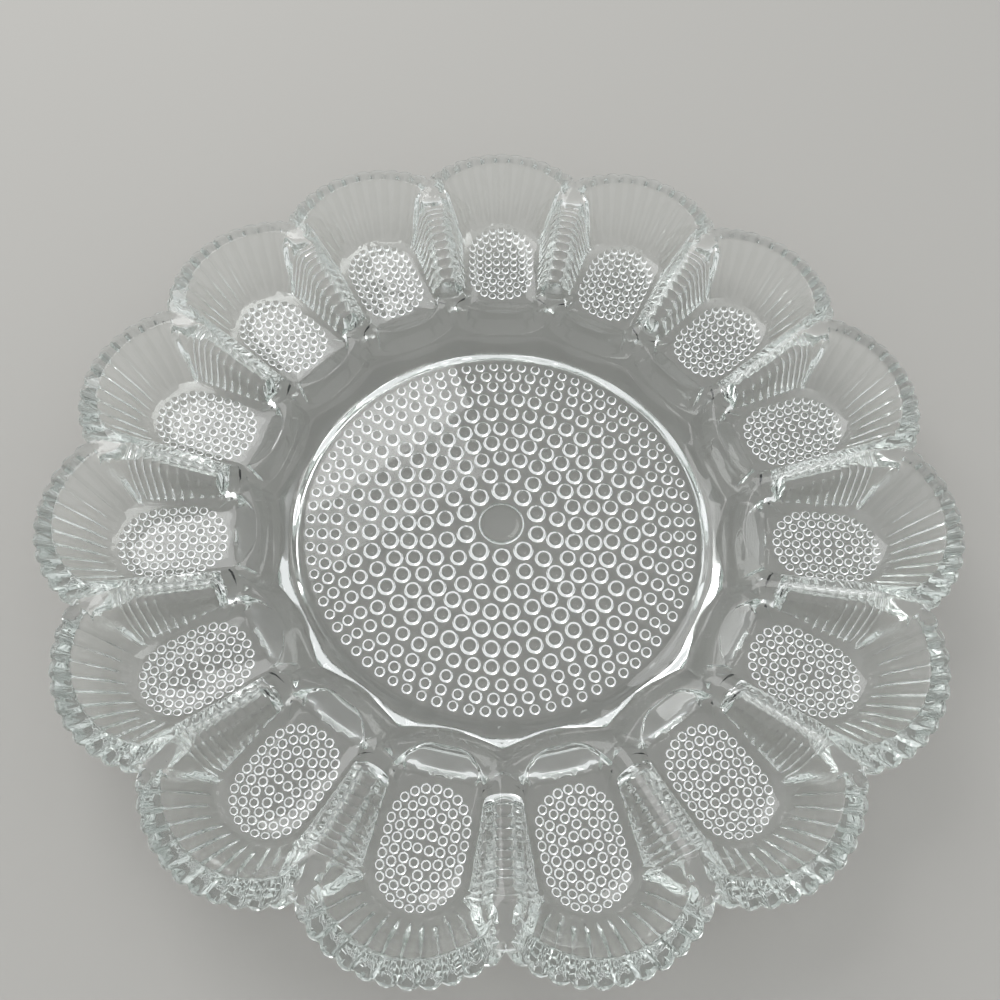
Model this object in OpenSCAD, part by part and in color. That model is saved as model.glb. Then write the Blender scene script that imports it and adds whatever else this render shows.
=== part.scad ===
// Round deviled egg platter of clear pressed glass, with a hobnail pattern on its underside.
// The platter stands on its foot ring at z = 0, with its axis on Z and egg well 01 towards +Y.
// The real platter is one pressing. Each region of it is a solid here, and they meet face to face.

/* [Plate] */
// Radius of the platter at the tips of its lobes
plate_r = 143; // [137:0.5:149]
// Height of the lip above the table
plate_h = 34; // [31:0.5:37]
// Number of egg wells
well_count = 15; // [14:1:16]

/* [Centre dish] */
// Radius of the flat floor
floor_r = 66; // [64:0.5:67.5]
// Thickness of the floor
floor_t = 3.4; // [2.4:0.1:5]
// Height of the floor's underside above the table
floor_lift = 2.6; // [2:0.1:4]
// Radius at which the dish's wall starts, at mid well
dish_r = 72.4; // [71.6:0.1:74]
// Rise of the round cove from the floor to the wall
cove_rise = 2.5; // [1.5:0.1:4]
// Inner radius of the flat that the foot ring stands on
foot_in_r = 68; // [67.2:0.1:68.8]
// Outer radius of the flat that the foot ring stands on
foot_out_r = 70.8; // [70:0.1:71.4]

/* [Ridge] */
// Radius of the ridge between dish and wells, at mid well
ridge_r = 78.6; // [76.5:0.1:81]
// Height of the ridge above the table
ridge_h = 17; // [15.5:0.5:19]
// Width of the ridge's flat top at mid well
ridge_land = 0.6; // [0.3:0.1:1.5]
// Radius at which the dividers between wells start to rise from the ridge
divider_r = 84; // [82.5:0.25:86]
// Radius in plan of each scallop of the dish's wall, at the ridge
scallop_r = 39.4; // [34:0.2:48]

/* [Egg wells] */
// Height of the wells' flat underside above the table
well_lift = 10; // [8.5:0.5:11.5]
// Radius at which the wells' flat underside starts
under_r = 86.5; // [84:0.5:88]
// Thickness of the glass under a well
well_t = 3.5; // [2.5:0.1:4.5]
// Slope of a well's side and outer walls, in degrees
well_slope = 59; // [55:1:64]
// Radius of the cove between a well's floor and its walls
well_cove_r = 12; // [8:0.5:13]
// Radius in plan of a well's inner end
end_r = 14.6; // [14:0.1:16]
// Length in plan of the slope from the ridge down to a well's floor
end_run = 7.4; // [5:0.2:9]
// Half width of the flat in the middle of a well's floor
flat_w = 9; // [7:0.25:10]
// Radius of the cove beside that flat
flat_cove_r = 8; // [5:0.5:10]
// Slope that the floor's sides rise to, in degrees
flat_slope = 35; // [25:1:38]

/* [Dividers] */
// Radius of the dividers' round tops
divider_top_r = 5.7; // [4.5:0.1:6.5]
// Slope of the dividers' sides, in degrees
divider_slope = 68; // [62:1:74]
// How far in from the meeting of two lips a divider reaches the rim's height
divider_lead = 1.5; // [1:0.1:3]
// Thickness of the glass at a divider's crest
divider_t = 3.8; // [3:0.1:5]
// Radius of the round top of the groove under a divider
groove_r = 2.2; // [1.5:0.1:3]
// Slope of the groove's sides, in degrees
groove_slope = 71; // [66:1:76]
// Radius at which the groove starts
groove_start = 90; // [88.5:0.5:93]

/* [Rim] */
// Radius in plan of a lobe's outline
lobe_r = 36.1; // [34:0.1:39]
// Radius in plan of the lip around a well's outer end
lip_r = 27.1; // [25.5:0.1:28]
// Width of the rim from lip to edge, at a lobe's tip
rim_w = 7; // [5.5:0.1:8.5]
// Drop of the rim from its lip to its edge
rim_drop = 1.7; // [0.8:0.1:3]
// Height of the band of glass that makes each rim lobe
rim_band_h = 6; // [5:0.25:8]
// Height of the rim's rounded edge
edge_h = 2.2; // [1.4:0.1:3]
// Number of reeds around the outside of a lobe
reed_count = 11; // [9:1:13]
// How far the reeds stand out
reed_h = 0.7; // [0.4:0.05:1]

/* [Hobnails] */
// Radius of the boss at the centre of the underside
boss_r = 7.7; // [7:0.1:8.2]
// Radius of the hobnails under the floor
nail_r = 2.9; // [2.4:0.05:3.1]
// How far the hobnails stand out
nail_h = 1.2; // [0.8:0.05:1.5]
// Radius of the first ring of hobnails
ring_r = 12.5; // [12:0.1:13.5]
// Step between the rings of hobnails, in the middle
ring_step = 6.32; // [6.3:0.02:6.4]
// Step between the rings of hobnails, near the foot
outer_ring_step = 4.95; // [4.8:0.05:5]
// Radius of the hobnails under a well
well_nail_r = 1.4; // [1.1:0.05:1.4]
// Half width of a well's patch of hobnails, to the outer ones' centres
patch_w = 11.4; // [10.8:0.1:11.8]
// Half length of a well's patch of hobnails, to the outer ones' centres
patch_l = 16.8; // [16:0.1:17.2]
// Step between the rings of hobnails in a patch
patch_step = 3.25; // [3.1:0.05:3.4]

/* [Hidden] */
$fn = 96;
ball_fn = 480;

// Small overrun that lets a cut run past the face it opens
over = 2;

// Half the angle of one well's sector
half = 180 / well_count;
sector = 2 * half;

// Hobnails in each ring under the floor, and the ring's size against the middle rings
ring_counts = [10, 15, 24, 30, 36, 40, 51, 59, 69, 79];
ring_size_shares = [1.17, 1, 1, 1, 1, 1, 0.88, 0.78, 0.76, 0.76];
// Rings at the wide step, before the outer ones close up
wide_rings = 6;
// Width of a divider's flanks against its round top, where they leave it
flank_share = 0.97;
// Height of a well's hobnails against the floor's
well_nail_share = 0.75;

floor_top = floor_lift + floor_t;
wall_foot_h = floor_top + cove_rise;
cove_r = ((dish_r - floor_r) * (dish_r - floor_r) + cove_rise * cove_rise) / (2 * cove_rise);
foot_slope = well_lift / (under_r - foot_out_r);

// Plan of a lobe: centres of its outline and of its lip
lobe_y = plate_r - lobe_r;
lip_y = plate_r - rim_w - lip_r;
lobe_foot_r = lobe_y * sin(half);
divide_r = lobe_y * cos(half);
notch_r = lip_y * cos(half) + sqrt(lip_r * lip_r - pow(lip_y * sin(half), 2));

// Section of a well
well_floor = well_lift + well_t;
wall_run = (plate_h - well_floor) / tan(well_slope);
bowl_foot_r = lip_r - wall_run;
cove_run = well_cove_r * tan(well_slope / 2);
end_y = ridge_r + ridge_land + end_r;
end_drop = ridge_h - well_floor;
divider_tilt = atan((plate_h - ridge_h) / (notch_r - divider_lead - divider_r));
divider_l = (plate_r - divider_r) / cos(divider_tilt);
top_h = plate_h + over;

scallop_y = ridge_r + scallop_r;
scallop_slope = (ridge_r - dish_r) / (ridge_h - wall_foot_h);

// Section of the rim's edge
edge_top = plate_h - rim_drop;
edge_low = edge_top - edge_h;
edge_chamfer = edge_h / 3;
band_z = plate_h - rim_band_h;

// Radius of a reed at the rim and at its foot, from its width and how far it stands out
reed_angle = 2 * asin(notch_half_chord() / lobe_r) / reed_count;
reed_half_w = (lobe_r - reed_h) * sin(reed_angle / 2);
reed_r = (reed_half_w * reed_half_w + reed_h * reed_h) / (2 * reed_h);

function two_digits(i) = i < 10 ? str("0", i) : str(i);
function well_name(i) = str("egg_well_", two_digits(i));
function lobe_name(i) = str("rim_lobe_", two_digits(i));
function patch_name(i) = str("well_hobnails_", two_digits(i));

// Half the distance between the two notches beside a lobe, where its outline meets its neighbours'
function notch_half_chord() =
    let (n = divide_r + sqrt(lobe_r * lobe_r - lobe_foot_r * lobe_foot_r)) n * sin(half);

// Radius of ring k under the floor, counted from zero
function ring_radius(k) =
    ring_r + ring_step * min(k, wide_rings) + outer_ring_step * max(k - wide_rings, 0);

// Rings of a patch are long tracks: straight sides of one length, with a half circle at each end
patch_side = 2 * (patch_l - patch_w);
function track_length(r) = 2 * (PI * r + patch_side);

// Point at distance d along the quarter of a track that starts at its end on +Y
function quarter_point(r, d) =
    d < PI * r / 2
    ? [r * sin(d / r * 180 / PI), patch_side / 2 + r * cos(d / r * 180 / PI)]
    : [r, patch_side / 2 - (d - PI * r / 2)];

// Point at share s of the way around a track, mirrored from its first quarter
function track_point(r, s) =
    let (side = s < 0.5 ? 1 : -1, t = s < 0.5 ? s : 1 - s, end = t < 0.25 ? 1 : -1, u = t < 0.25 ? t : 0.5 - t)
    let (q = quarter_point(r, u * track_length(r)))
    [side * q[0], end * q[1]];

// One hobnail hanging from z = 0: a cap of a ball, with its true round face
module hobnail(r, h) {
    ball_r = (r * r + h * h) / (2 * h);
    rotate_extrude()
        intersection() {
            translate([0, ball_r - h]) circle(r = ball_r, $fn = ball_fn);
            translate([0, -h]) square([r, h]);
        }
}

module center_floor() {
    color("lightcyan", 0.4)
        translate([0, 0, floor_lift]) cylinder(r = floor_r, h = floor_t);
}

// The large round boss that the hobnails ring
module center_boss() {
    color("lightcyan", 0.4)
        translate([0, 0, floor_lift]) hobnail(boss_r, nail_h);
}

module nail_ring(k) {
    for (j = [0 : ring_counts[k] - 1])
        rotate([0, 0, -360 * (j + k % 2 / 2) / ring_counts[k]])
            translate([0, ring_radius(k), 0])
                hobnail(nail_r * ring_size_shares[k], nail_h * min(1, ring_size_shares[k]));
}

// Rings of hobnails under the floor: the outermost runs into the foot ring
module center_hobnails() {
    last = len(ring_counts) - 1;
    color("azure", 0.5)
        translate([0, 0, floor_lift]) {
            for (k = [0 : last - 1])
                nail_ring(k);
            intersection() {
                nail_ring(last);
                translate([0, 0, -nail_h]) cylinder(r = floor_r, h = nail_h);
            }
        }
}

// Ring under the edge of the dish: a flat to stand on, and the round cove that starts the wall
module foot_ring() {
    color("lightcyan", 0.4)
        rotate_extrude()
            difference() {
                polygon([
                    [floor_r, floor_lift],
                    [foot_in_r, 0],
                    [foot_out_r, 0],
                    [dish_r, (dish_r - foot_out_r) * foot_slope],
                    [dish_r, wall_foot_h],
                    [floor_r, wall_foot_h]
                ]);
                translate([floor_r, floor_top + cove_r]) circle(r = cove_r);
            }
}

// Sector of one well, as an endless prism
module sector_prism() {
    far = (plate_r + over) / cos(half);
    linear_extrude(height = top_h)
        polygon([[0, 0], [far * sin(half), far * cos(half)], [-far * sin(half), far * cos(half)]]);
}

// Part of the sector inside the lobe, from the axis out to the lobe's centre
module inner_prism() {
    linear_extrude(height = plate_h)
        polygon([
            [0, 0],
            [divide_r * sin(half), divide_r * cos(half)],
            [0, lobe_y],
            [-divide_r * sin(half), divide_r * cos(half)]
        ]);
}

// Section of a round-topped wedge that hangs from the origin
module round_wedge(r, slope, depth) {
    top_w = r * flank_share;
    foot_w = top_w + (depth - r) / tan(slope);
    translate([0, -r]) circle(r = r);
    polygon([[top_w, -r], [foot_w, -depth], [-foot_w, -depth], [-top_w, -r]]);
}

// Wedge under the crest of the divider on one side, from radius start outwards
module divider_wedge(side, start, drop, r, slope) {
    rotate([0, 0, -side * half])
        translate([0, divider_r, ridge_h])
            rotate([divider_tilt, 0, 0])
                translate([0, divider_l, -drop])
                    rotate([90, 0, 0])
                        linear_extrude(height = divider_l + (divider_r - start) / cos(divider_tilt))
                            round_wedge(r, slope, plate_h);
}

// Dividers on both sides of a well, with their round tops
module divider_walls() {
    for (side = [-1, 1])
        divider_wedge(side, dish_r, 0, divider_top_r, divider_slope);
}

// Groove under each divider, up to the band of the rim
module divider_grooves() {
    intersection() {
        for (side = [-1, 1])
            divider_wedge(side, groove_start, divider_t, groove_r, groove_slope);
        translate([-plate_r, 0, -plate_h]) cube([2 * plate_r, plate_r + over, band_z + plate_h]);
    }
}

// One reed: a slim cone along the slope of the lobe's outside
module reed(a) {
    rise = edge_low - well_lift;
    run = lobe_r - reed_h - lobe_foot_r;
    tilt = atan(run / rise);
    slope_l = sqrt(rise * rise + run * run);
    rotate([0, 0, -a])
        translate([0, lobe_foot_r, well_lift])
            rotate([-tilt, 0, 0])
                translate([0, reed_h - reed_r, 0])
                    cylinder(r = reed_r, h = slope_l + over * 2);
}

// Solid lobe around its own axis: sloping outside, reeds, rounded edge and flat top
module lobe_body() {
    core_r = lobe_r - reed_h;
    translate([0, lobe_y, 0])
        intersection() {
            union() {
                rotate_extrude()
                    polygon([
                        [0, well_lift],
                        [lobe_foot_r, well_lift],
                        [core_r, edge_low],
                        [core_r, edge_top + over],
                        [0, edge_top + over]
                    ]);
                for (j = [0 : reed_count - 1])
                    reed((j - (reed_count - 1) / 2) * reed_angle);
            }
            rotate_extrude()
                polygon([
                    [0, well_lift],
                    [lobe_foot_r, well_lift],
                    [lobe_r - edge_chamfer, edge_low],
                    [lobe_r, edge_low + edge_chamfer],
                    [lobe_r, edge_top - edge_chamfer],
                    [lobe_r - edge_chamfer, edge_top],
                    [lobe_r - rim_w, plate_h],
                    [0, plate_h]
                ]);
        }
}

// Section of a well's bowl, from its axis to its wall
module bowl_section() {
    intersection() {
        square([lip_r + over, top_h + over]);
        union() {
            polygon([
                [0, well_floor],
                [bowl_foot_r - cove_run, well_floor],
                [bowl_foot_r + cove_run * cos(well_slope), well_floor + cove_run * sin(well_slope)],
                [lip_r, plate_h],
                [lip_r + over / tan(well_slope), top_h],
                [0, top_h]
            ]);
            translate([bowl_foot_r - cove_run, well_floor + well_cove_r]) circle(r = well_cove_r);
        }
    }
}

// Section of the trough that makes the rest of a well: flat floor, cove and rising sides
module trough_section() {
    side_w = lip_r + over;
    rise = flat_cove_r * (1 - cos(flat_slope));
    bend_w = flat_w + flat_cove_r * sin(flat_slope);
    polygon([
        [0, well_floor],
        [flat_w, well_floor],
        [bend_w, well_floor + rise],
        [side_w, well_floor + rise + (side_w - bend_w) * tan(flat_slope)],
        [side_w, top_h],
        [0, top_h]
    ]);
    translate([flat_w, well_floor + flat_cove_r])
        intersection() {
            circle(r = flat_cove_r);
            translate([0, -flat_cove_r]) square([side_w - flat_w, flat_cove_r]);
        }
}

// Limit of the trough at its inner end: a round end with a sloping window for a floor
module trough_end() {
    side_w = lip_r + over;
    translate([-side_w, end_y, 0]) cube([2 * side_w, lip_y, top_h]);
    translate([-side_w, floor_r, ridge_h]) cube([2 * side_w, end_y - floor_r + over, top_h]);
    intersection() {
        translate([0, end_y, well_floor - over]) cylinder(r = end_r, h = top_h);
        translate([-side_w, end_y - end_r, 0])
            rotate([90, 0, 90])
                linear_extrude(height = 2 * side_w)
                    polygon([
                        [-over, ridge_h + over * end_drop / end_run],
                        [end_run, well_floor],
                        [end_r + over, well_floor],
                        [end_r + over, top_h],
                        [-over, top_h]
                    ]);
    }
}

// Hollow that an egg half lies in: a round outer end, a trough and a sloping inner end
module well_hollow() {
    translate([0, lip_y, 0]) rotate_extrude() bowl_section();
    intersection() {
        translate([0, lip_y, 0])
            rotate([90, 0, 0])
                linear_extrude(height = lip_y - floor_r + over)
                    union() {
                        trough_section();
                        mirror([1, 0, 0]) trough_section();
                    }
        trough_end();
    }
}

// The dish's scalloped wall, seen from the dish: what is cut away in front of one scallop
module scallop_cut() {
    rise = ridge_h + over - wall_foot_h;
    foot_r = scallop_r + ridge_r - dish_r;
    difference() {
        translate([0, 0, wall_foot_h]) cylinder(r = end_y, h = rise);
        translate([0, scallop_y, wall_foot_h]) cylinder(r1 = foot_r, r2 = foot_r - rise * scallop_slope, h = rise);
    }
}

// What is cut from below: the cone from the foot ring up to the flat underside of the wells
module under_cut() {
    far = plate_r + over;
    rotate_extrude()
        polygon([[foot_out_r, 0], [under_r, well_lift], [far, well_lift], [far, -over], [foot_out_r, -over]]);
}

// All the glass of one sector outside the foot ring
module sector_glass() {
    difference() {
        union() {
            inner_prism();
            intersection() {
                lobe_body();
                sector_prism();
            }
        }
        translate([0, 0, -over]) cylinder(r = dish_r, h = top_h + over);
        under_cut();
        scallop_cut();
        divider_grooves();
        difference() {
            well_hollow();
            divider_walls();
        }
    }
}

// Everything above or below the plane where a rim lobe starts
module above_band() {
    translate([-plate_r, 0, band_z]) cube([2 * plate_r, 2 * plate_r, rim_band_h + over]);
}

module egg_well(i) {
    color("lightcyan", 0.4)
        rotate([0, 0, -(i - 1) * sector])
            difference() {
                sector_glass();
                above_band();
            }
}

module rim_lobe(i) {
    color("paleturquoise", 0.5)
        rotate([0, 0, -(i - 1) * sector])
            intersection() {
                sector_glass();
                above_band();
            }
}

// Egg-shaped patch of small hobnails under a well
module well_hobnails(i) {
    patch_y = (end_y - end_r + end_run + lobe_y + lobe_foot_r) / 2;
    rings = floor(patch_w / patch_step);
    color("azure", 0.5)
        rotate([0, 0, -(i - 1) * sector])
            translate([0, patch_y, well_lift])
                for (k = [0 : rings]) {
                    r = patch_w - k * patch_step;
                    n = 2 * floor(track_length(r) / patch_step / 2);
                    for (j = [0 : n - 1])
                        translate(track_point(r, j / n)) hobnail(well_nail_r, nail_h * well_nail_share);
                }
}

center_floor();
center_boss();
center_hobnails();
foot_ring();
for (i = [1 : well_count]) egg_well(i);
for (i = [1 : well_count]) rim_lobe(i);
for (i = [1 : well_count]) well_hobnails(i);
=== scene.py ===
import math

import bmesh
import bpy
import numpy as np
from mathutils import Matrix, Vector, geometry


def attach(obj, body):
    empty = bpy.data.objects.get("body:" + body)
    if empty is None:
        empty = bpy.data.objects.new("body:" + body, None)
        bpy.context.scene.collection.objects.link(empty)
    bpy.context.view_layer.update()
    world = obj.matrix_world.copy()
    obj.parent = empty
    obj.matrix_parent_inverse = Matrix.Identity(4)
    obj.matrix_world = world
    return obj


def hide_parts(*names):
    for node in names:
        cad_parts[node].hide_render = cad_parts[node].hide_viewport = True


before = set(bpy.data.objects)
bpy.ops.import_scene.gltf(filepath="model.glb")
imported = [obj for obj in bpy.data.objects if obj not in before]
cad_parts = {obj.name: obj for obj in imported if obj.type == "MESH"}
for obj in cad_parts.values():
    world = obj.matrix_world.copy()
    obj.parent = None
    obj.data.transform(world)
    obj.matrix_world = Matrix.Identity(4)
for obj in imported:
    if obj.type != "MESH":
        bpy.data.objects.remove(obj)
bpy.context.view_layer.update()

# All shapes are worked out in millimetres and scaled to metres when their mesh is made
metre = 0.001


def linearColour(hexCode):
    # sRGB hex to the linear values that Blender's sockets take
    channels = [int(hexCode[i:i + 2], 16) / 255 for i in (1, 3, 5)]
    return tuple(c / 12.92 if c <= 0.04045 else ((c + 0.055) / 1.055) ** 2.4 for c in channels) + (1.0,)


def addNode(tree, kind, settings=None, values=None, links=None):
    node = tree.nodes.new(kind)
    for name, value in (settings or {}).items():
        setattr(node, name, value)
    for key, value in (values or {}).items():
        node.inputs[key].default_value = value
    for key, socket in (links or {}).items():
        tree.links.new(socket, node.inputs[key])
    return node


# Camera, in millimetres and degrees: solved from the platter's own fifteen-fold symmetry
view = {
    "target": (-1.13, -5.40, 31.7),
    "distance": 295.2,
    "turn": -2.728,
    "pitch": 62.53,
    "roll": 2.913,
    "lens": 34.33,
}


def makeCamera():
    turn, pitch, roll = (math.radians(view[k]) for k in ("turn", "pitch", "roll"))
    back = Vector((math.sin(turn) * math.cos(pitch), -math.cos(turn) * math.cos(pitch), math.sin(pitch)))
    right = Vector((math.cos(turn), math.sin(turn), 0))
    up = back.cross(right)
    rolledRight = right * math.cos(roll) + up * math.sin(roll)
    rolledUp = up * math.cos(roll) - right * math.sin(roll)
    data = bpy.data.cameras.new("viewCamera")
    data.sensor_width = 36
    data.lens = view["lens"]
    data.clip_start = 0.01
    camera = bpy.data.objects.new("viewCamera", data)
    bpy.context.scene.collection.objects.link(camera)
    place = (Vector(view["target"]) + back * view["distance"]) * metre
    matrix = camera.matrix_world.copy()
    for row in range(3):
        matrix[row][0] = rolledRight[row]
        matrix[row][1] = rolledUp[row]
        matrix[row][2] = back[row]
        matrix[row][3] = place[row]
    camera.matrix_world = matrix
    bpy.context.scene.camera = camera


makeCamera()
print("camera set")

# Pressed soda-lime glass, fire polished: clear, with a faint grey-green cast where it is thick
glassLook = {
    "body": "#FCFDFC",
    "depthTint": "#D6DEDA",
    "depthDensity": 14.0,
    "roughness": 0.0,
    "ior": 1.51,
}


def makeGlass():
    material = bpy.data.materials.new("pressedSodaLimeGlass")
    material.use_nodes = True
    tree = material.node_tree
    tree.nodes.clear()
    surface = addNode(tree, "ShaderNodeBsdfPrincipled", values={
        "Base Color": linearColour(glassLook["body"]),
        "Roughness": glassLook["roughness"],
        "IOR": glassLook["ior"],
        "Transmission Weight": 1.0,
    })
    depth = addNode(tree, "ShaderNodeVolumeAbsorption", values={
        "Color": linearColour(glassLook["depthTint"]),
        "Density": glassLook["depthDensity"],
    })
    addNode(tree, "ShaderNodeOutputMaterial", links={"Surface": surface.outputs[0], "Volume": depth.outputs[0]})
    return material


glass = makeGlass()

# The platter's own sizes, in millimetres. The top is close to its solids. Underneath, the foot's slope, the
# bend between foot and wells and the reeds' depth are fitted to the light in the glass, the groove
# starts about 1 mm nearer the centre than the solids' groove, and the flutes are only here
plate = {
    "wells": 15,
    "height": 34.0,
    "lobeRadius": 36.1, "lobeCentre": 106.9,
    "lipRadius": 27.1, "lipCentre": 108.9,
    "rimSlope": 0.243, "rimFlat": 29.1, "edgeInset": 0.5,
    "wallSlope": 59.0, "coveRadius": 12.0, "wellFloor": 13.5,
    "flatHalf": 9.0, "flatCove": 8.0, "flatSlope": 35.0,
    "endRadius": 14.6, "endRun": 7.4, "endCentre": 93.8, "endSteep": 3.4,
    "ridgeHeight": 17.0, "dividerStart": 84.0, "dividerEnd": 121.4, "dividerRise": 0.4734,
    "dividerRound": 5.7, "dividerSlope": 68.0, "dividerThick": 3.8,
    "grooveRound": 2.2, "grooveSlope": 71.0, "grooveStart": 93.6, "grooveTop": 28.0,
    "floorTop": 6.0, "floorEdge": 66.0, "coveRise": 2.5, "coveBend": 0.055, "coveSlope": 0.75,
    "scallopRadius": 39.4, "scallopCentre": 118.0, "scallopSlope": 1.371, "scallopFoot": 45.6,
    "underFlat": 10.0, "lobeFoot": 22.2, "lobeSplit": 104.56, "outerSlope": 1.523,
    "footOuter": 72.8,
    "footProfile": ((72.5, 0.0), (72.2, 0.0), (71.9, 0.02), (71.0, 0.45), (70.0, 1.05), (69.0, 1.65), (68.0, 2.2)),
    "underProfile": ((72.8, 0.0), (76.6, 5.0), (84.9, 8.0), (86.7, 10.0), (88.0, 14.0), (89.0, 99.0)),
    "underFloor": 2.6, "underEdge": 67.2,
    "reeds": 11, "reedDepth": 1.15, "reedStart": 17, "reedRun": 9, "reedFade": 4,
    "fluteDepth": 0.5, "fluteCut": 0.2, "fluteReach": 7.0, "fluteFrom": 93.0, "fluteTo": 121.0,
    "flutePitch": (4.0, 1.8),
    "ridgeEnd": 85.0, "underStep": 86.9,
    "crestRound": 1.1, "lipRound": 0.7, "footFillet": 2.0, "windowRound": 0.8, "dividerBlend": 1.4,
    "wellRound": 1.0, "dishRound": 0.5, "coveRound": 0.4, "underRound": 0.4, "grooveRise": 6, "grooveBlend": 1.0,
}

halfAngle = math.pi / plate["wells"]
webLine = np.array([math.sin(halfAngle), math.cos(halfAngle)])
webNormal = np.array([math.cos(halfAngle), -math.sin(halfAngle)])
notchAngle = math.asin(math.sin(halfAngle) * (plate["lobeCentre"] * math.cos(halfAngle) + math.sqrt(
    plate["lobeRadius"] ** 2 - (plate["lobeCentre"] * math.sin(halfAngle)) ** 2)) / plate["lobeRadius"])
reedAngle = 2 * notchAngle / plate["reeds"]


def lerp(a, b, t):
    return a + (b - a) * t


def softMin(a, b, k):
    h = np.clip(0.5 + 0.5 * (b - a) / k, 0, 1)
    return b * (1 - h) + a * h - k * h * (1 - h)


def softMax(a, b, k):
    return -softMin(-a, -b, k)


def acrossWeb(p):
    return p - 2 * (p @ webNormal)[:, None] * webNormal


def reedCut(p):
    # depth of the valleys between the reeds, which fan out from the middle of the lobe
    angle = np.abs(np.arctan2(p[:, 0], p[:, 1] - plate["lobeCentre"]))
    share = np.mod(angle / reedAngle + 0.5, 1)
    away = np.hypot(p[:, 0], p[:, 1] - plate["lobeCentre"])
    reach = np.clip((away - plate["reedStart"]) / plate["reedRun"], 0.0, 1)
    fadeAngle = math.radians(plate["reedFade"])
    fade = np.clip((notchAngle + fadeAngle - angle) / fadeAngle, 0, 1)
    return plate["reedDepth"] * (2 * share - 1) ** 2 * reach * fade


def wedge(p, radius, slope, drop):
    # round-topped wedge that runs along under the crest between two wells
    tilt = math.atan(plate["dividerRise"])
    steep = math.tan(math.radians(slope))
    across = np.abs(p @ webNormal) / radius
    dome = 1 - np.sqrt(np.maximum(1 - across ** 2, 0))
    # the dome ends at joinStart, and a short straight joins it to the flank
    joinStart, flankStart, domeDrop = 0.94, 0.97, 0.659
    join = lerp(domeDrop, 1 + (1 - flankStart) * steep, (across - joinStart) / (1 - joinStart))
    flank = 1 + (across - flankStart) * steep
    depth = np.where(across < joinStart, dome, np.where(across < 1, join, flank)) * radius
    crest = plate["ridgeHeight"] + (p @ webLine - plate["dividerStart"]) * plate["dividerRise"]
    return crest - (drop + depth) / math.cos(tilt)


def bowl(p):
    # round outer end of a well
    spine = np.hypot(p[:, 0], p[:, 1] - plate["lipCentre"])
    slope = math.radians(plate["wallSlope"])
    footR = plate["lipRadius"] - (plate["height"] - plate["wellFloor"]) / math.tan(slope)
    run = plate["coveRadius"] * math.tan(slope / 2)
    start, end = footR - run, footR + run * math.cos(slope)
    bend = plate["coveRadius"] - np.sqrt(np.maximum(plate["coveRadius"] ** 2 - (spine - start) ** 2, 0))
    wall = plate["height"] - (plate["lipRadius"] - spine) * math.tan(slope)
    return np.where(spine < start, plate["wellFloor"], np.where(spine < end, plate["wellFloor"] + bend, wall))


def trough(p):
    # the rest of a well: flat floor, cove, rising sides, and a sloping window at the inner end
    aside = np.abs(p[:, 0]) - plate["flatHalf"]
    slope = math.radians(plate["flatSlope"])
    bendEnd = plate["flatCove"] * math.sin(slope)
    bend = plate["flatCove"] - np.sqrt(plate["flatCove"] ** 2 - np.clip(aside, 0, bendEnd) ** 2)
    section = plate["wellFloor"] + bend + np.maximum(aside - bendEnd, 0) * math.tan(slope)
    fromCentre = np.hypot(p[:, 0], p[:, 1] - plate["endCentre"])
    windowFoot = plate["endCentre"] - plate["endRadius"] + plate["endRun"]
    rise = (plate["ridgeHeight"] - plate["wellFloor"]) / plate["endRun"]
    window = plate["wellFloor"] + (windowFoot - p[:, 1]) * rise
    side = (plate["ridgeHeight"] + plate["wellFloor"]) / 2 + (fromCentre - plate["endRadius"]) * plate["endSteep"]
    soft = plate["windowRound"]
    end = softMin(softMax(window, side, soft), np.full(len(p), plate["ridgeHeight"]), soft)
    end = end - np.maximum(p[:, 1] - plate["endCentre"] + 1.5, 0) * 2.5
    return softMax(section, end, soft) + np.maximum(p[:, 1] - plate["lipCentre"], 0)


def wellSide(p):
    return softMin(bowl(p), trough(p), plate["wellRound"])


def dishSide(p):
    out = np.maximum(np.hypot(p[:, 0], p[:, 1]) - plate["floorEdge"], 0)
    knee = plate["coveSlope"] / (2 * plate["coveBend"])
    straight = plate["coveBend"] * knee ** 2 + (out - knee) * plate["coveSlope"]
    cove = np.where(out < knee, plate["coveBend"] * out ** 2, straight)
    cove = softMin(cove, np.full(len(p), plate["coveRise"]), plate["coveRound"])

    def scallop(q):
        away = np.hypot(q[:, 0], q[:, 1] - plate["scallopCentre"])
        rise = plate["ridgeHeight"] + (plate["scallopRadius"] - away) * plate["scallopSlope"]
        return np.where(q[:, 1] > plate["scallopCentre"] - 20, 99, rise)
    wall = softMax(scallop(p), scallop(acrossWeb(p)), plate["crestRound"])
    return np.where(out > 0.01, softMax(plate["floorTop"] + cove, wall, plate["dishRound"]), plate["floorTop"])


def topHeight(p):
    lobe = np.hypot(p[:, 0], p[:, 1] - plate["lobeCentre"])
    rim = plate["height"] - np.maximum(lobe - plate["rimFlat"], 0) * plate["rimSlope"]
    wells = softMin(wellSide(p), wellSide(acrossWeb(p)), plate["crestRound"])
    divider = wedge(p, plate["dividerRound"], plate["dividerSlope"], 0)
    z = softMin(softMax(wells, divider, plate["dividerBlend"]), dishSide(p), plate["crestRound"])
    return softMin(z, rim, plate["lipRound"])


def makeCusps():
    # where the cusps between the flutes cross a divider, closer together towards the rim
    cusps = [plate["fluteTo"]]
    while cusps[-1] > plate["fluteFrom"]:
        share = (cusps[-1] - plate["fluteFrom"]) / (plate["fluteTo"] - plate["fluteFrom"])
        cusps.append(cusps[-1] - lerp(*plate["flutePitch"], share))
    return cusps


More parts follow.
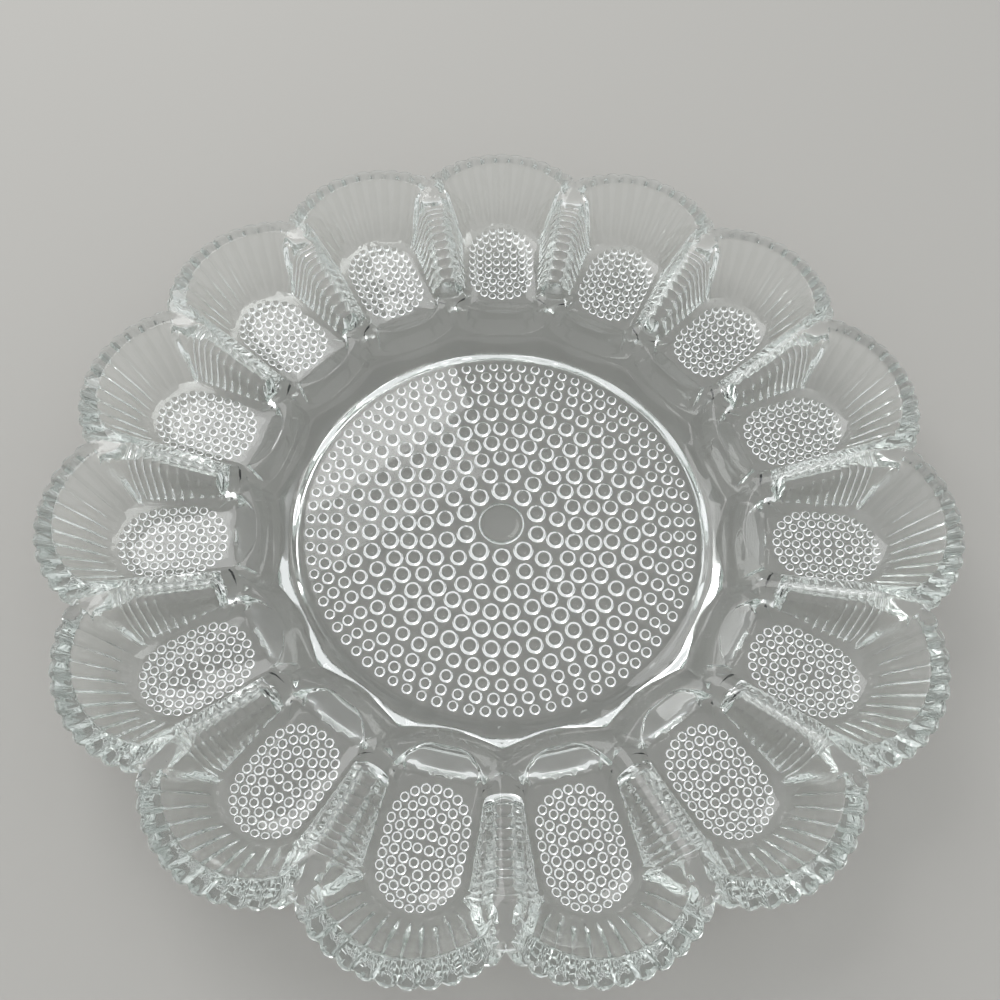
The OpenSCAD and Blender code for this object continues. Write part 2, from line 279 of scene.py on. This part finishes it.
def underHeight(p):
    along, across = p @ webLine, np.abs(p @ webNormal)

    def lobeWall(q):
        lobe = np.hypot(q[:, 0], q[:, 1] - plate["lobeCentre"])
        wall = plate["underFlat"] + (lobe + reedCut(q) - plate["lobeFoot"]) * plate["outerSlope"]
        return np.where(along > plate["lobeSplit"], wall, plate["underFlat"] - 3)
    share = np.mod(np.interp(along, cusps[::-1], np.arange(len(cusps))), 1)
    within = np.clip((along - cusps[-1] + 1) / 2, 0, 1) * np.clip((cusps[0] + 2 - along) / 2, 0, 1)
    flute = (2 * share - 1) ** 2 * within
    walls = softMin(lobeWall(p), lobeWall(acrossWeb(p)), plate["crestRound"])
    z = softMax(np.full(len(p), plate["underFlat"]), walls, plate["footFillet"])
    cut = (np.sign(p @ webNormal) * np.maximum(across - plate["fluteCut"] * flute, 0))[:, None] * webNormal
    groove = wedge(along[:, None] * webLine + cut, plate["grooveRound"], plate["grooveSlope"], plate["dividerThick"])
    groove = groove - np.maximum(plate["grooveStart"] + 0.3 - along, 0) * plate["grooveRise"]
    groove = softMin(groove, np.full(len(p), plate["grooveTop"]), plate["windowRound"])
    z = softMax(z, groove, plate["grooveBlend"])
    z = z + plate["fluteDepth"] * flute * np.clip((plate["fluteReach"] - across) / 2.0, 0, 1)
    r = np.hypot(p[:, 0], p[:, 1])
    return softMin(z, np.interp(r, *zip(*plate["underProfile"])), plate["underRound"])


cusps = makeCusps()

# How finely the glass is drawn, and the small unevenness of a pressed pattern
grid = {
    "lobeColumns": 22, "webColumns": 13, "ridgeColumns": 8,
    "patchCentre": 107.5, "patchWide": 11.4, "patchLong": 16.8, "patchStep": 3.25, "patchEdge": 13.7,
    "wellNail": 1.56, "wellNailHeight": 1.15,
    "unevenPlace": 0.10, "unevenSize": 0.05, "seed": 7,
    "mergeGap": 0.000012, "crumb": 0.000001, "sharpAngle": 34,
}


def track(radius, side, share):
    # point at a share of the way round a track with straight sides, from its end on +Y
    length = 2 * math.pi * radius + 2 * side
    d = (share % 1) * length
    sign = 1
    if d > length / 2:
        d, sign = length - d, -1
    quarter = math.pi * radius / 2
    if d < quarter:
        x, y = radius * math.sin(d / radius), side / 2 + radius * math.cos(d / radius)
    elif d < quarter + side:
        x, y = radius, side / 2 - (d - quarter)
    else:
        a = (d - quarter - side) / radius
        x, y = radius * math.cos(a), -side / 2 - radius * math.sin(a)
    return sign * x, y


class Sheets:
    # collects grids of points as faces, each grid wound so that its faces point outwards
    def __init__(self):
        self.points, self.faces, self.count = [], [], 0

    def add(self, rows, flip):
        rows = np.asarray(rows)
        a, b = rows.shape[:2]
        self.points.append(rows.reshape(-1, 3))
        for i in range(a - 1):
            for j in range(b - 1):
                k = self.count + i * b + j
                quad = (k, k + 1, k + b + 1, k + b)
                self.faces.append(quad[::-1] if flip else quad)
        self.count += a * b

    def addBoth(self, rows, flip):
        # a half of the sector, and its mirror image across the middle of the well
        self.add(rows, flip)
        self.add(np.asarray(rows) * np.array([-1, 1, 1]), not flip)

    def addFlat(self, points, faces, z, flip):
        self.points.append(np.array([[x, y, z] for x, y in points]))
        for f in faces:
            f = [self.count + i for i in f]
            self.faces.append(f[::-1] if flip else f)
        self.count += len(points)

    def addLoose(self, points):
        self.points.append(np.asarray(points))
        self.count += len(points)


def onSurface(plan, height):
    plan = np.asarray(plan)
    flat = plan.reshape(-1, 2)
    return np.concatenate([flat, height(flat)[:, None]], axis=1).reshape(plan.shape[:-1] + (3,))


def triangulate(outline, holes):
    # fills an outline around holes, all flat, and keeps the holes' own corners
    area = sum(a[0] * b[1] - b[0] * a[1] for a, b in zip(outline, outline[1:] + outline[:1]))
    outline = outline if area > 0 else outline[::-1]
    points = [Vector(p) for p in outline]
    loops = [list(range(len(outline)))]
    for hole in holes:
        loops.append(list(range(len(points), len(points) + len(hole))))
        points += [Vector(p) for p in hole]
    found = geometry.delaunay_2d_cdt(points, [], loops, 1, 1e-7)
    faces = [f for f, source in zip(found[2], found[5]) if 0 in source and len(source) == 1]
    return [tuple(v) for v in found[0]], faces


def circle(x, y, radius, sides):
    return [(x + radius * math.cos(2 * math.pi * i / sides), y + radius * math.sin(2 * math.pi * i / sides))
            for i in range(sides)]


def lobePoint(centre, radius, angle):
    return np.array([radius * math.sin(angle), centre + radius * math.cos(angle)])


def rimColumns():
    # from the lip out over the rim and round its edge, one row of points for each column
    columns = []
    rimShares = (0, 0.05, 0.12, 0.22, 0.36, 0.5, 0.64, 0.78)
    roundedEdge = ((0.35, 0.12), (0.08, 0.38), (0.0, 0.62), (0.12, 0.86))  # inset, share of the drop to the low edge
    lipEnd = math.atan2(plate["dividerEnd"] * webLine[0], plate["dividerEnd"] * webLine[1] - plate["lipCentre"])
    for j in range(grid["lobeColumns"] + 1):
        share = j / grid["lobeColumns"]
        lip = lobePoint(plate["lipCentre"], plate["lipRadius"], lipEnd * share)
        edge = lobePoint(plate["lobeCentre"], plate["lobeRadius"], notchAngle * share)
        radial = (np.array([0, plate["lobeCentre"]]) - edge) / plate["lobeRadius"]
        edge = edge + radial * reedCut(edge[None])[0] * (1 if j < grid["lobeColumns"] else 0)
        if j == grid["lobeColumns"]:
            lip, edge = webLine * plate["dividerEnd"], webLine * (webLine @ edge - plate["reedDepth"])
        inward = lip - edge
        length = np.linalg.norm(inward)
        inward /= length
        scale = 1 / max(inward @ radial, 0.5)
        plan = [lerp(lip, edge, t) for t in rimShares]
        rows = [(*p, topHeight(p[None])[0]) for p in plan]
        brow = edge + inward * 0.9 * scale
        top = topHeight(brow[None])[0]
        low = edge + inward * plate["edgeInset"] * scale
        lowZ = underHeight(low[None])[0]
        rows.append((*brow, top))
        for inset, drop in roundedEdge:
            q = edge + inward * inset * scale
            rows.append((*q, lerp(top, lowZ, drop)))
        rows.append((*low, lowZ))
        columns.append(rows)
    return np.array(columns)


def wellColumns(lipPlan):
    # columns run from the lip, the dividers' crests and the ridge in to a spine along the well's middle
    lipSteps = (0, 0.35, 0.8, 1.4, 2.4, 4.2, 6.5, 9, 11.5, 14, 17, 21)
    webSteps = (0, 0.9, 1.8, 2.8, 3.8, 4.7, 5.4, 6.0, 6.8, 8.2, 11, 16)
    wallShares, pastWall = (0, 0.25, 0.5, 0.75), (-0.45, -0.1, 0.25, 0.6, 1.1, 2.6, 5.5, 9.5)
    boundary = [p for p in lipPlan]
    spine = [np.array([0, plate["lipCentre"]])] * len(boundary)
    blend = [0.0] * len(boundary)
    n = grid["webColumns"]
    for i in range(1, n + 1):
        boundary.append(webLine * lerp(plate["dividerEnd"], plate["ridgeEnd"], i / n))
        spine.append(np.array([0, lerp(plate["lipCentre"], plate["endCentre"], min(1, i / (n - 2)))]))
        blend.append(min(1, i / 3))
    for p in ridgeCurve()[::-1][1:]:
        boundary.append(p)
        spine.append(np.array([0, plate["endCentre"]]))
        blend.append(2.0)
    columns = []
    for b, s, kind in zip(boundary, spine, blend):
        length = np.linalg.norm(s - b)
        inward = (s - b) / length
        wall = max(length - plate["endRadius"], 0.55)
        endSteps = [wall * t for t in wallShares] + [wall + t for t in pastWall]
        endSteps[4] = max(endSteps[4], wall * 0.9)
        near = min(1, max(0, (92 - b @ webLine) / 6)) if kind >= 1 else 0
        toEnd = 1 if kind > 1 else near
        steps = [lerp(lerp(a, c, min(kind, 1)), e, toEnd) for a, c, e in zip(lipSteps, webSteps, endSteps)]
        columns.append([b + inward * d for d in steps + [length]])
    return onSurface(columns, topHeight)


def ridgeCurve():
    # crest of the ridge in plan, from the middle of the well to the divider
    points = []
    end = webLine * plate["ridgeEnd"]
    n = grid["ridgeColumns"]
    for i in range(n + 1):
        x = end[0] * i / n
        arc = plate["scallopCentre"] - math.sqrt((plate["scallopRadius"] - 0.3) ** 2 - x ** 2)
        points.append(np.array([x, arc if i < n else end[1]]))
    return points


def dishColumns(crest):
    columns = []
    for i, top in enumerate(crest):
        angle = halfAngle * i / (len(crest) - 1)
        u = np.array([math.sin(angle), math.cos(angle)])
        ahead, aside = plate["scallopCentre"] * u[1], plate["scallopCentre"] * u[0]
        foot = ahead - math.sqrt(plate["scallopFoot"] ** 2 - aside ** 2)
        plan = [u * r for r in (plate["floorEdge"], 67.8, 69.6, lerp(69.6, foot, 0.6), foot - 0.5, foot, foot + 0.5)]
        plan += [lerp(plan[-1], top, t) for t in (0.3, 0.6, 0.8, 0.9, 0.95, 1)]
        columns.append(plan)
    return onSurface(columns, topHeight)


def underColumns(lowPlan):
    # from the edge, the dividers and the foot ring in to the patch of hobnails
    edgeR, side = grid["patchEdge"], 2 * (grid["patchLong"] - grid["patchWide"])
    arcCentre = grid["patchCentre"] + side / 2
    length = 2 * math.pi * edgeR + 2 * side
    boundary, target, steer = list(lowPlan), [], []
    shift = arcCentre - plate["lobeCentre"]
    for j in range(len(boundary)):
        angle = notchAngle * j / (len(boundary) - 1)
        reach = shift * math.cos(angle) + math.sqrt(edgeR ** 2 - (shift * math.sin(angle)) ** 2)
        target.append(lobePoint(plate["lobeCentre"], reach, angle))
        steer.append(None)
    last = target[-1]
    startShare = math.atan2(last[0], last[1] - arcCentre) * edgeR / length
    notchR = np.linalg.norm(boundary[-1])
    radii = [lerp(notchR, cusps[0], t / 6) for t in range(1, 7)]
    for a, b in zip(cusps, cusps[1:]):
        radii += [lerp(a, b, t) for t in (0.22, 0.5, 0.78, 1)]
    radii += [lerp(cusps[-1], plate["underStep"], t) for t in (0.25, 0.5, 0.75)]
    radii += [plate["underStep"], 85.9, 84.8, 80.6, 76.9, 76.3, 74.6, plate["footOuter"]]
    footShare, stops = 0.412, (plate["footOuter"], 90, cusps[0], notchR)
    for r in radii:
        x, y = track(edgeR, side, np.interp(r, stops, (footShare, 0.385, 0.185, startShare)))
        boundary.append(webLine * r)
        target.append(np.array([x, grid["patchCentre"] + y]))
        turn = np.clip((r - 119) / (notchR - 119), 0, 1)
        a = lerp(math.atan2(webNormal[0], webNormal[1]), notchAngle, turn)
        steer.append(-np.array([math.sin(a), math.cos(a)]) if r > 88 else None)
    n = grid["ridgeColumns"]
    for i in range(1, n + 1):
        angle = halfAngle * (1 - i / n)
        boundary.append(plate["footOuter"] * np.array([math.sin(angle), math.cos(angle)]))
        x, y = track(edgeR, side, lerp(footShare, 0.5, i / n))
        target.append(np.array([abs(x) if i < n else 0.0, grid["patchCentre"] + y]))
        steer.append(None)
    columns, plainShares = [], (0, 0.06, 0.14, 0.24, 0.36, 0.5, 0.64, 0.78, 0.9, 1)
    for b, s, way in zip(boundary, target, steer):
        if way is None:
            columns.append([lerp(b, s, t) for t in plainShares])
            continue
        u = b @ webLine
        crest = plate["ridgeHeight"] + (u - plate["dividerStart"]) * plate["dividerRise"] - 4.2
        foot = 2.13 + max((min(crest, plate["grooveTop"]) - plate["underFlat"]) * 0.904 - 2.2, 0.4) / 2.904
        depths = (0, 0.9, 1.6, 2.1, lerp(2.1, foot, 0.35), lerp(2.1, foot, 0.7), foot, foot + 1.3)
        near = [b + way * d for d in depths]
        columns.append(near + [lerp(near[-1], s, 0.5), s])
    return onSurface(columns, underHeight), target


def footColumns():
    columns = []
    profile = ((plate["footOuter"], 0.0), *plate["footProfile"], (plate["underEdge"], plate["underFloor"]))
    for i in range(grid["ridgeColumns"] + 1):
        a = halfAngle * i / grid["ridgeColumns"]
        columns.append([(r * math.sin(a), r * math.cos(a), z) for r, z in profile])
    return np.array(columns)


# Caps: each hobnail is a cap of a ball, instanced on the sheet's own holes and merged into it
hobnails = {
    "sides": 8, "rings": 3, "fullness": 88.0,
    "centreSides": 12, "centreRings": 3, "centreFullness": 85.0,
    "boss": 7.7, "bossSides": 40,
    "bossProfile": ((7.7, 0), (7.55, -0.6), (7.1, -1.1), (6.3, -1.45), (5.4, -1.65), (4.65, -1.7), (0.0, -1.7)),
    "counts": (10, 15, 24, 30, 36, 40, 51, 59, 69, 79),
    "radii": (12.5, 19.0, 25.4, 31.6, 37.8, 44.2, 50.3, 55.7, 60.3, 64.3),
    "sizes": (3.4, 2.95, 2.95, 2.95, 2.95, 2.95, 2.55, 2.25, 2.15, 1.75),
    "heightShare": 0.74,
}


def addField(tree, operation, a, b=None):
    node = addNode(tree, "ShaderNodeMath", {"operation": operation})
    for slot, value in ((0, a), (1, b)):
        if value is None:
            continue
        if isinstance(value, (int, float)):
            node.inputs[slot].default_value = value
        else:
            tree.links.new(value, node.inputs[slot])
    return node.outputs[0]


def makeHobnailTree():
    tree = bpy.data.node_groups.new("hobnailGlass", "GeometryNodeTree")
    face = tree.interface
    face.new_socket(name="Geometry", in_out="INPUT", socket_type="NodeSocketGeometry")
    for name, kind in (("Copies", "Int"), ("Cap sides", "Int"), ("Cap rings", "Int"), ("Fullness", "Float"),
                       ("Merge distance", "Float"), ("Glass", "Material")):
        face.new_socket(name=name, in_out="INPUT", socket_type="NodeSocket" + kind)
    face.new_socket(name="Geometry", in_out="OUTPUT", socket_type="NodeSocketGeometry")
    entry = addNode(tree, "NodeGroupInput").outputs

    # loose points carry the caps' radii: everything else is sheet
    radius = addNode(tree, "GeometryNodeInputNamedAttribute", {"data_type": "FLOAT"}, {"Name": "capRadius"})
    height = addNode(tree, "GeometryNodeInputNamedAttribute", {"data_type": "FLOAT"}, {"Name": "capHeight"})
    isCap = addField(tree, "GREATER_THAN", radius.outputs["Attribute"], 0.0)
    parts = addNode(tree, "GeometryNodeSeparateGeometry", {"domain": "POINT"}, links={
        "Geometry": entry["Geometry"], "Selection": isCap})

    # a cone's rings are bent to a cap of a ball that hangs below its base
    cone = addNode(tree, "GeometryNodeMeshCone", {"fill_type": "NONE"}, {
        "Radius Top": 0.0, "Radius Bottom": 1.0, "Depth": 1.0}, {
        "Vertices": entry["Cap sides"], "Side Segments": entry["Cap rings"]})
    place = addNode(tree, "GeometryNodeInputPosition")
    flat = addNode(tree, "ShaderNodeVectorMath", {"operation": "MULTIPLY"}, {1: (1, 1, 0)}, {0: place.outputs[0]})
    out = addNode(tree, "ShaderNodeVectorMath", {"operation": "LENGTH"}, links={0: flat.outputs[0]}).outputs["Value"]
    angle = addField(tree, "MULTIPLY", out, entry["Fullness"])
    wide = addField(tree, "DIVIDE", addField(tree, "SINE", angle),
                    addField(tree, "MULTIPLY", out, addField(tree, "SINE", entry["Fullness"])))
    edgeCosine = addField(tree, "COSINE", entry["Fullness"])
    fallen = addField(tree, "SUBTRACT", edgeCosine, addField(tree, "COSINE", angle))
    drop = addField(tree, "DIVIDE", fallen, addField(tree, "SUBTRACT", 1.0, edgeCosine))
    spread = addNode(tree, "ShaderNodeVectorMath", {"operation": "SCALE"}, links={0: flat.outputs[0], "Scale": wide})
    hang = addNode(tree, "ShaderNodeCombineXYZ", links={"Z": drop})
    bent = addNode(tree, "ShaderNodeVectorMath", {"operation": "ADD"}, links={0: spread.outputs[0], 1: hang.outputs[0]})
    cap = addNode(tree, "GeometryNodeSetPosition", links={
        "Geometry": cone.outputs["Mesh"], "Position": bent.outputs[0]})
    turned = addNode(tree, "GeometryNodeFlipFaces", links={"Mesh": cap.outputs[0]})

    size = addNode(tree, "ShaderNodeCombineXYZ", links={
        "X": radius.outputs["Attribute"], "Y": radius.outputs["Attribute"], "Z": height.outputs["Attribute"]})
    caps = addNode(tree, "GeometryNodeInstanceOnPoints", links={
        "Points": parts.outputs["Selection"], "Instance": turned.outputs[0], "Scale": size.outputs[0]})
    solidCaps = addNode(tree, "GeometryNodeRealizeInstances", links={"Geometry": caps.outputs[0]})
    joined = addNode(tree, "GeometryNodeJoinGeometry")
    tree.links.new(parts.outputs["Inverted"], joined.inputs[0])
    tree.links.new(solidCaps.outputs[0], joined.inputs[0])
    sector = addNode(tree, "GeometryNodeMergeByDistance", links={
        "Geometry": joined.outputs[0], "Distance": entry["Merge distance"]})

    # the sector is repeated around the axis
    spots = addNode(tree, "GeometryNodePoints", links={"Count": entry["Copies"]})
    index = addNode(tree, "GeometryNodeInputIndex")
    turn = addField(tree, "DIVIDE", addField(tree, "MULTIPLY", index.outputs[0], -2 * math.pi), entry["Copies"])
    spin = addNode(tree, "ShaderNodeCombineXYZ", links={"Z": turn})
    ring = addNode(tree, "GeometryNodeInstanceOnPoints", links={
        "Points": spots.outputs[0], "Instance": sector.outputs[0], "Rotation": spin.outputs[0]})
    whole = addNode(tree, "GeometryNodeRealizeInstances", links={"Geometry": ring.outputs[0]})
    merged = addNode(tree, "GeometryNodeMergeByDistance", links={
        "Geometry": whole.outputs[0], "Distance": entry["Merge distance"]})
    finish = addNode(tree, "GeometryNodeSetMaterial", links={"Geometry": merged.outputs[0], "Material": entry["Glass"]})
    addNode(tree, "NodeGroupOutput", links={"Geometry": finish.outputs[0]})
    return tree


def grow(name, sheets, nails, tree, inputs):
    # makes the base mesh, runs the tree on it and returns the plain mesh
    nails = np.asarray(nails)
    looseStart = sheets.count
    sheets.addLoose(nails[:, :3])
    mesh = bpy.data.meshes.new(name)
    mesh.from_pydata((np.concatenate(sheets.points) * metre).tolist(), [], sheets.faces)
    for key, column in (("capRadius", 3), ("capHeight", 4)):
        layer = mesh.attributes.new(key, "FLOAT", "POINT")
        values = np.zeros(len(mesh.vertices), dtype=np.float32)
        values[looseStart:] = nails[:, column] * metre
        layer.data.foreach_set("value", values)
    base = bpy.data.objects.new(name, mesh)
    bpy.context.scene.collection.objects.link(base)
    modifier = base.modifiers.new("hobnails", "NODES")
    modifier.node_group = tree
    sockets = {s.name: s.identifier for s in tree.interface.items_tree if s.in_out == "INPUT"}
    for key, value in inputs.items():
        modifier[sockets[key]] = value
    bpy.context.view_layer.update()
    grown = bpy.data.meshes.new_from_object(base.evaluated_get(bpy.context.evaluated_depsgraph_get()))
    bpy.data.objects.remove(base)
    return grown


def wellSector(uneven):
    sheets = Sheets()
    rim = rimColumns()
    sheets.addBoth(rim, False)
    sheets.addBoth(wellColumns(rim[:, 0, :2]), True)
    sheets.addBoth(dishColumns(ridgeCurve()), True)
    under, target = underColumns(rim[:, -1, :2])
    sheets.addBoth(under, False)
    sheets.addBoth(footColumns(), True)
    outline = [tuple(p) for p in target] + [(-p[0], p[1]) for p in target[-2:0:-1]]
    side = 2 * (grid["patchLong"] - grid["patchWide"])
    spots = []
    for k in range(int(grid["patchWide"] // grid["patchStep"]) + 1):
        r = grid["patchWide"] - k * grid["patchStep"]
        n = 2 * int((2 * math.pi * r + 2 * side) / grid["patchStep"] / 2)
        spots += [track(r, side, j / n) for j in range(n)]
    shift = uneven.uniform(-1, 1, (len(spots), 2)) * grid["unevenPlace"]
    spots = np.array(spots) + np.array([0, grid["patchCentre"]]) + shift
    heightShare = grid["wellNailHeight"] / grid["wellNail"]
    nails = sizedNails(spots, np.full(len(spots), grid["wellNail"]), plate["underFlat"], heightShare, uneven)
    points, faces = triangulate(outline, [circle(x, y, r, hobnails["sides"]) for x, y, z, r, h in nails])
    sheets.addFlat(points, faces, plate["underFlat"], True)
    return sheets, nails


def sizedNails(spots, sizes, z, heightShare, uneven):
    nails = []
    gaps = np.linalg.norm(spots[:, None] - spots[None], axis=2) + np.eye(len(spots)) * 99
    nearest = gaps.min(axis=1)
    for (x, y), size, gap in zip(spots, sizes, nearest):
        r = min(size * (1 + uneven.uniform(-1, 1) * grid["unevenSize"]), gap / 2 - 0.04)
        nails.append((x, y, z, r, r * heightShare))
    return nails


def centreDish(uneven):
    sheets = Sheets()
    steps = plate["wells"] * grid["ridgeColumns"] * 2
    top = circle(0, 0, plate["floorEdge"], steps)
    points, faces = triangulate(top, [])
    sheets.addFlat(points, faces, plate["floorTop"], False)
    spots, sizes = [], []
    for k, (count, r, size) in enumerate(zip(hobnails["counts"], hobnails["radii"], hobnails["sizes"])):
        for j in range(count):
            a = 2 * math.pi * (j + k % 2 / 2) / count
            spots.append((r * math.sin(a), r * math.cos(a)))
            sizes.append(size)
    shift = uneven.uniform(-1, 1, (len(spots), 2)) * grid["unevenPlace"] * 2
    shift[-hobnails["counts"][-1]:] *= 0.2
    nails = sizedNails(np.array(spots) + shift, sizes, plate["underFloor"], hobnails["heightShare"], uneven)
    bossSides = hobnails["bossSides"]
    holes = [circle(x, y, r, hobnails["centreSides"]) for x, y, z, r, h in nails]
    holes.append(circle(0, 0, hobnails["boss"], bossSides))
    points, faces = triangulate(circle(0, 0, plate["underEdge"], steps), holes)
    sheets.addFlat(points, faces, plate["underFloor"], True)
    rows = []
    for i in range(bossSides + 1):
        a = 2 * math.pi * i / bossSides
        rows.append([(r * math.cos(a), r * math.sin(a), plate["underFloor"] + z) for r, z in hobnails["bossProfile"]])
    sheets.add(rows, False)
    return sheets, nails


def makeGlassPiece():
    uneven = np.random.default_rng(grid["seed"])
    tree = makeHobnailTree()
    shared = {"Merge distance": grid["mergeGap"], "Glass": glass}
    sheets, nails = wellSector(uneven)
    ring = grow("wellSector", sheets, nails, tree, {
        "Copies": plate["wells"], "Cap sides": hobnails["sides"], "Cap rings": hobnails["rings"],
        "Fullness": math.radians(hobnails["fullness"]), **shared})
    print("wells grown:", len(ring.polygons), "faces")
    sheets, nails = centreDish(uneven)
    dish = grow("centreDish", sheets, nails, tree, {
        "Copies": 1, "Cap sides": hobnails["centreSides"], "Cap rings": hobnails["centreRings"],
        "Fullness": math.radians(hobnails["centreFullness"]), **shared})
    print("dish grown:", len(dish.polygons), "faces")
    return joinGlass([ring, dish])


def joinGlass(parts):
    work = bmesh.new()
    for part in parts:
        work.from_mesh(part)
    bmesh.ops.remove_doubles(work, verts=work.verts, dist=grid["mergeGap"])
    bmesh.ops.dissolve_degenerate(work, edges=work.edges, dist=grid["crumb"])
    bmesh.ops.recalc_face_normals(work, faces=work.faces)
    print("open edges:", sum(len(e.link_faces) != 2 for e in work.edges))
    bmesh.ops.triangulate(work, faces=work.faces)
    mesh = bpy.data.meshes.new("eggPlatter")
    work.to_mesh(mesh)
    work.free()
    for part in parts:
        bpy.data.meshes.remove(part)
    mesh.polygons.foreach_set("use_smooth", [True] * len(mesh.polygons))
    mesh.set_sharp_from_angle(angle=math.radians(grid["sharpAngle"]))
    mesh.materials.clear()
    mesh.materials.append(glass)
    piece = bpy.data.objects.new("eggPlatter", mesh)
    bpy.context.scene.collection.objects.link(piece)
    print("platter:", len(mesh.polygons), "triangles")
    return piece


platter = makeGlassPiece()
numbers = ["%02d" % i for i in range(1, plate["wells"] + 1)]
cadNodes = ["center_floor", "center_boss", "center_hobnails", "foot_ring"]
cadNodes += [kind + n for kind in ("egg_well_", "rim_lobe_", "well_hobnails_") for n in numbers]
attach(platter, "root")
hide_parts(*cadNodes)
print("platter placed")

# Plain pale studio: a light grey table top and an even sky, with one large soft lamp
studio = {
    "floor": "#ADABA7", "floorHalf": 3.0, "floorGap": 0.00005,
    "sky": "#F2F4F5", "skyStrength": 1.0,
    "lampPlace": (-0.5, 0.7, 0.9), "lampSize": 0.8, "lampPower": 6.0,
    "bounces": 18, "glossyBounces": 12,
}


def makeStudio():
    mesh = bpy.data.meshes.new("studioFloor")
    s, z = studio["floorHalf"], -studio["floorGap"]
    mesh.from_pydata([(-s, -s, z), (s, -s, z), (s, s, z), (-s, s, z)], [], [(0, 1, 2, 3)])
    floor = bpy.data.objects.new("studioFloor", mesh)
    bpy.context.scene.collection.objects.link(floor)
    paint = bpy.data.materials.new("paleFloorPaint")
    paint.use_nodes = True
    shader = paint.node_tree.nodes["Principled BSDF"]
    shader.inputs["Base Color"].default_value = linearColour(studio["floor"])
    shader.inputs["Roughness"].default_value = 0.9
    shader.inputs["Specular IOR Level"].default_value = 0.2
    mesh.materials.append(paint)

    world = bpy.data.worlds.new("studioSky")
    bpy.context.scene.world = world
    world.use_nodes = True
    world.node_tree.nodes.clear()
    sky = addNode(world.node_tree, "ShaderNodeBackground", values={
        "Color": linearColour(studio["sky"]), "Strength": studio["skyStrength"]})
    addNode(world.node_tree, "ShaderNodeOutputWorld", links={"Surface": sky.outputs[0]})

    data = bpy.data.lights.new("softLamp", "AREA")
    data.shape = "SQUARE"
    data.size = studio["lampSize"]
    data.energy = studio["lampPower"]
    lamp = bpy.data.objects.new("softLamp", data)
    bpy.context.scene.collection.objects.link(lamp)
    lamp.location = studio["lampPlace"]
    lamp.rotation_euler = (-Vector(studio["lampPlace"])).to_track_quat("-Z", "Y").to_euler()


makeStudio()
# Light has to pass many faces of the glass before it leaves it
bpy.context.scene.cycles.max_bounces = studio["bounces"]
bpy.context.scene.cycles.transmission_bounces = studio["bounces"]
bpy.context.scene.cycles.glossy_bounces = studio["glossyBounces"]
bpy.context.scene.view_settings.view_transform = "Standard"
print("studio set")
